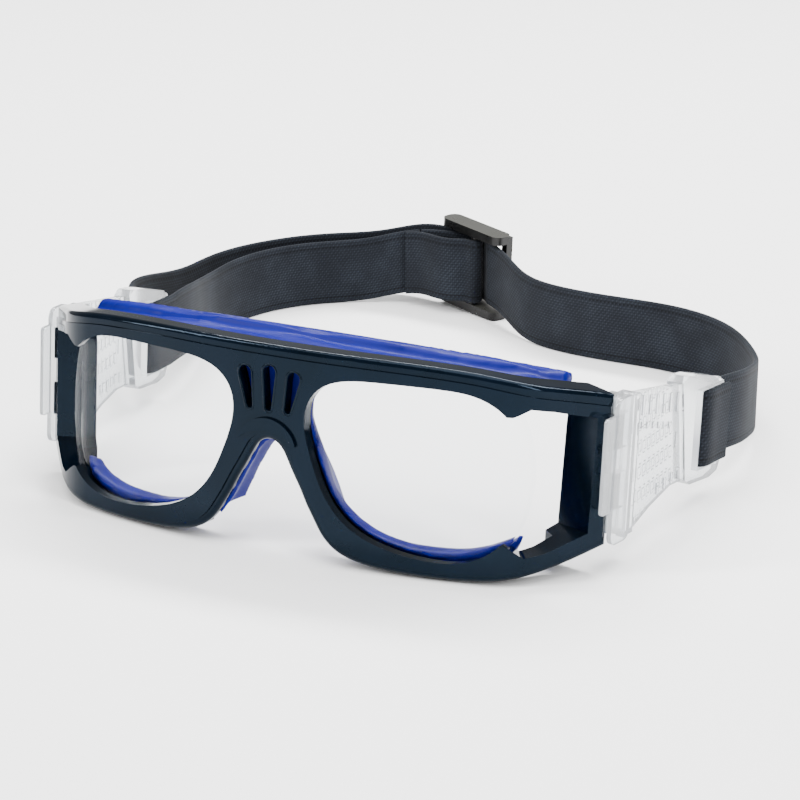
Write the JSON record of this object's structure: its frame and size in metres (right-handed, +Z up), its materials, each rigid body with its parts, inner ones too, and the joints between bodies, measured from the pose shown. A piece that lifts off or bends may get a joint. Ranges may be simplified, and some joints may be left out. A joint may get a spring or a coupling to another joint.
{
  "type": "sports protective goggles",
  "caption": "Wraparound protective sports goggles with clear lenses, a soft face gasket, hinged translucent temples and an adjustable elastic head strap.",
  "frame": {"origin": "on the floor, under the middle of the whole object's box", "axes": "+Z up, -Y the way the wearer looks, +X to the side of the temple that carries the strap's sewn end; the front leans back 6 degrees as it stands on its lower rims"},
  "size_m": [0.1733, 0.1869, 0.0476],
  "materials": {
    "frame_navy": "satin moulded polycarbonate, near black navy",
    "lens_clear": "clear polished polycarbonate",
    "gasket_blue": "soft matt elastomer",
    "temple_frosted": "translucent, slightly frosted",
    "pin_steel": "plain drawn wire",
    "strap_grey": "woven elastic webbing",
    "slider_dark": "moulded, greyed on the top face"
  },
  "bodies": {
    "frame": {"front_frame": "frame_navy", "lens_right": "lens_clear", "lens_left": "lens_clear", "face_gasket": "gasket_blue", "hinge_pin_right": "pin_steel", "hinge_pin_left": "pin_steel", "strap_right_run": "strap_grey", "strap_outer_run": "strap_grey", "strap_inner_run": "strap_grey"},
    "temple_right": {"temple_right": "temple_frosted"},
    "temple_left": {"temple_left": "temple_frosted"},
    "slider": {"strap_slider": "slider_dark", "strap_slider_loop": "strap_grey"}
  },
  "joints": [
    {"name": "temple_right_hinge", "type": "hinge", "parent": "frame", "child": "temple_right", "pos_m": [0.07738, -0.06363, 0.02309], "axis": [0, 0.1045, 0.9945], "range_deg": [0, 80], "deforming": ["strap_right_run"]},
    {"name": "temple_left_hinge", "type": "hinge", "parent": "frame", "child": "temple_left", "pos_m": [-0.06002, -0.06363, 0.02309], "axis": [0, -0.1045, -0.9945], "range_deg": [0, 80], "deforming": ["strap_outer_run", "strap_inner_run"]},
    {"name": "slider_travel", "type": "slide", "parent": "frame", "child": "slider", "axis": [0.9135, -0.4067, 0], "range_m": [-0.003, 0.006], "deforming": ["strap_outer_run", "strap_inner_run", "strap_right_run"]}
  ]
}
